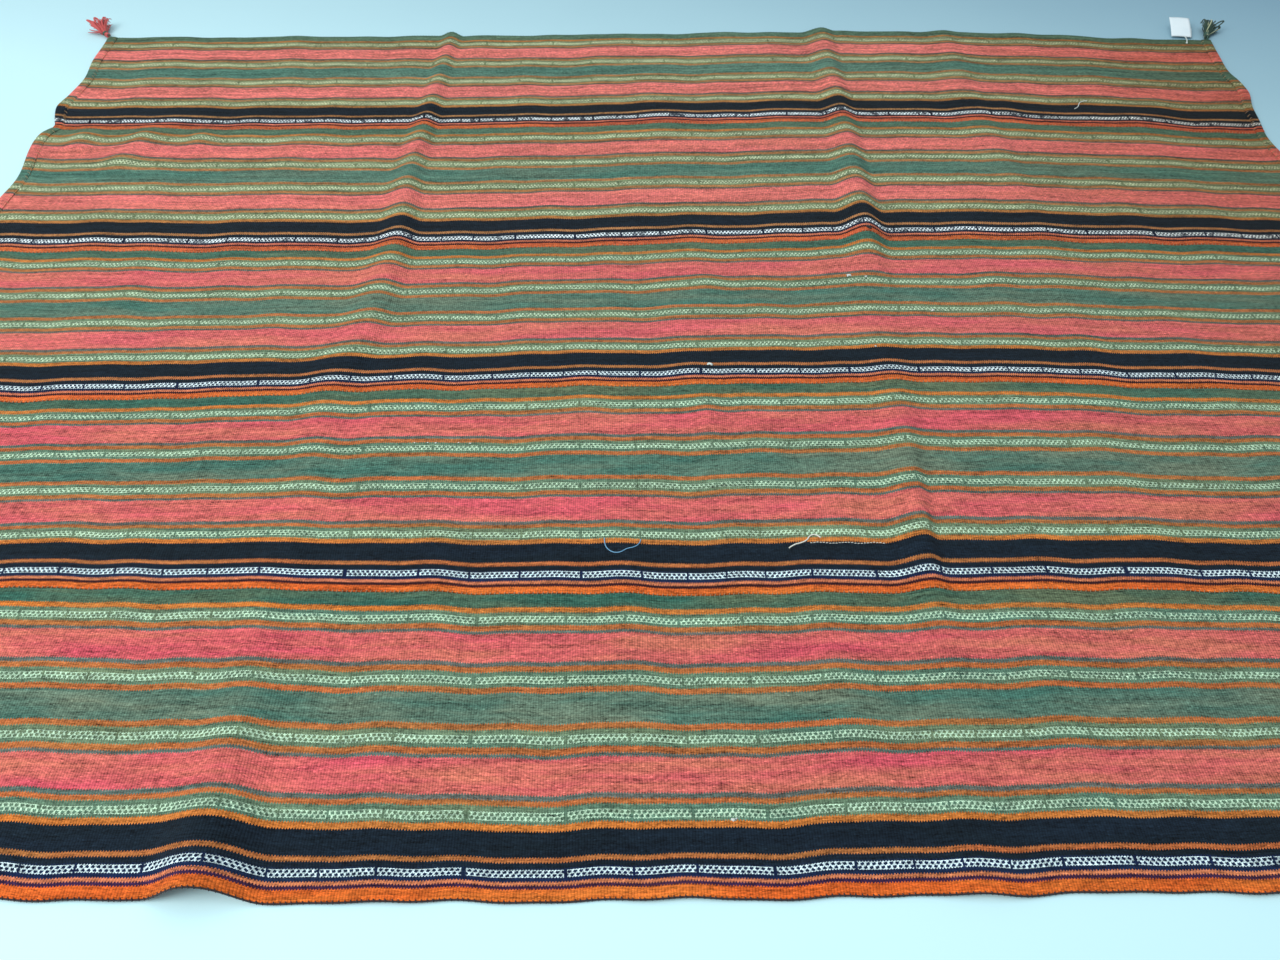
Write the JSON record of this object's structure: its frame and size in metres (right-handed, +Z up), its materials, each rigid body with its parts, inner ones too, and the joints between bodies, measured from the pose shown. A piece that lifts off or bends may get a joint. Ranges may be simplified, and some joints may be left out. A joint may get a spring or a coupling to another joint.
{
  "type": "striped camp blanket",
  "caption": "Handwoven striped wool blanket laid flat: sewn strips with folded hems, overcast edges, storage creases and corner tassels.",
  "frame": {"origin": "on the ground under the middle of the blanket, on the underside of the middle strip", "axes": "+X along the stripes, left to right; +Y from the near edge to the far edge; +Z up"},
  "size_m": [2.416, 1.9244, 0.0383],
  "materials": {
    "striped_wool": "warp-faced handspun wool in stripes and braid bands",
    "joining_yarn": "dull yarn, small slanted stitches",
    "dark_overcast_yarn": "blue-black wool yarn",
    "green_overcast_yarn": "green wool yarn",
    "hem_yarn": "brownish sewing yarn",
    "coral_tassel_wool": "soft unspun coral wool",
    "green_tassel_wool": "soft unspun green wool",
    "tassel_wrap_yarn": "tightly wound green yarn",
    "white_card": "matt white card, blank",
    "white_thread": "white cotton thread",
    "blue_thread": "pale blue thread",
    "mending_yarn": "soft off-white yarn"
  },
  "bodies": {
    "middle_panel": {"woven_strip_3": "striped_wool", "hem_stitching_3": "hem_yarn", "joining_seam_2": "joining_yarn", "joining_seam_3": "joining_yarn"},
    "near_inner_panel": {"woven_strip_2": "striped_wool", "hem_stitching_2": "hem_yarn", "joining_seam_1": "joining_yarn", "mending_stitches": "mending_yarn", "mending_yarn_tail": "mending_yarn", "loose_blue_thread": "blue_thread"},
    "near_outer_panel": {"woven_strip_1": "striped_wool", "hem_stitching_1": "hem_yarn", "near_edge_overcast": "dark_overcast_yarn"},
    "far_inner_panel": {"woven_strip_4": "striped_wool", "hem_stitching_4": "hem_yarn", "joining_seam_4": "joining_yarn"},
    "far_outer_panel": {"woven_strip_5": "striped_wool", "hem_stitching_5": "hem_yarn", "far_edge_overcast": "green_overcast_yarn", "tag_thread": "white_thread", "loose_white_thread": "white_thread"},
    "tag": {"blank_tag": "white_card"},
    "far_left_tassel": {"far_left_tassel": "coral_tassel_wool", "far_left_tassel_wrap": "tassel_wrap_yarn"},
    "far_right_tassel": {"far_right_tassel": "green_tassel_wool", "far_right_tassel_wrap": "tassel_wrap_yarn"},
    "near_left_tassel": {"near_left_tassel": "green_tassel_wool", "near_left_tassel_wrap": "tassel_wrap_yarn"},
    "near_right_tassel": {"near_right_tassel": "coral_tassel_wool", "near_right_tassel_wrap": "tassel_wrap_yarn"}
  },
  "joints": [
    {"name": "seam_1_fold", "type": "hinge", "parent": "near_inner_panel", "child": "near_outer_panel", "pos_m": [0, -0.54, 0.0026], "axis": [-1, 0, 0], "range_deg": [0, 60], "deforming": ["woven_strip_1", "joining_seam_1"]},
    {"name": "seam_2_fold", "type": "hinge", "parent": "middle_panel", "child": "near_inner_panel", "pos_m": [0, -0.18, 0.0026], "axis": [-1, 0, 0], "range_deg": [0, 60], "deforming": ["woven_strip_2", "joining_seam_2"]},
    {"name": "seam_3_fold", "type": "hinge", "parent": "middle_panel", "child": "far_inner_panel", "pos_m": [0, 0.18, 0.0026], "axis": [1, 0, 0], "range_deg": [0, 60], "deforming": ["woven_strip_4", "joining_seam_3"]},
    {"name": "seam_4_fold", "type": "hinge", "parent": "far_inner_panel", "child": "far_outer_panel", "pos_m": [0, 0.54, 0.0026], "axis": [1, 0, 0], "range_deg": [0, 60], "deforming": ["woven_strip_5", "joining_seam_4"]},
    {"name": "far_left_tassel_lift", "type": "hinge", "parent": "far_outer_panel", "child": "far_left_tassel", "pos_m": [-1.1549, 0.9032, 0.0065], "axis": [0.7071, 0.7071, 0], "range_deg": [0, 90]},
    {"name": "far_right_tassel_lift", "type": "hinge", "parent": "far_outer_panel", "child": "far_right_tassel", "pos_m": [1.1518, 0.8796, 0.0065], "axis": [0.9659, -0.2588, 0], "range_deg": [0, 90]},
    {"name": "near_left_tassel_lift", "type": "hinge", "parent": "near_outer_panel", "child": "near_left_tassel", "pos_m": [-1.1518, -0.9062, 0.0065], "axis": [-0.9659, 0.2588, 0], "range_deg": [0, 90]},
    {"name": "near_right_tassel_lift", "type": "hinge", "parent": "near_outer_panel", "child": "near_right_tassel", "pos_m": [1.1549, -0.9049, 0.0065], "axis": [-0.7071, -0.7071, 0], "range_deg": [0, 90]},
    {"name": "tag_flip", "type": "hinge", "parent": "far_outer_panel", "child": "tag", "pos_m": [1.106, 0.889, 0.0046], "axis": [0.9968, -0.0797, 0], "range_deg": [0, 110]}
  ]
}
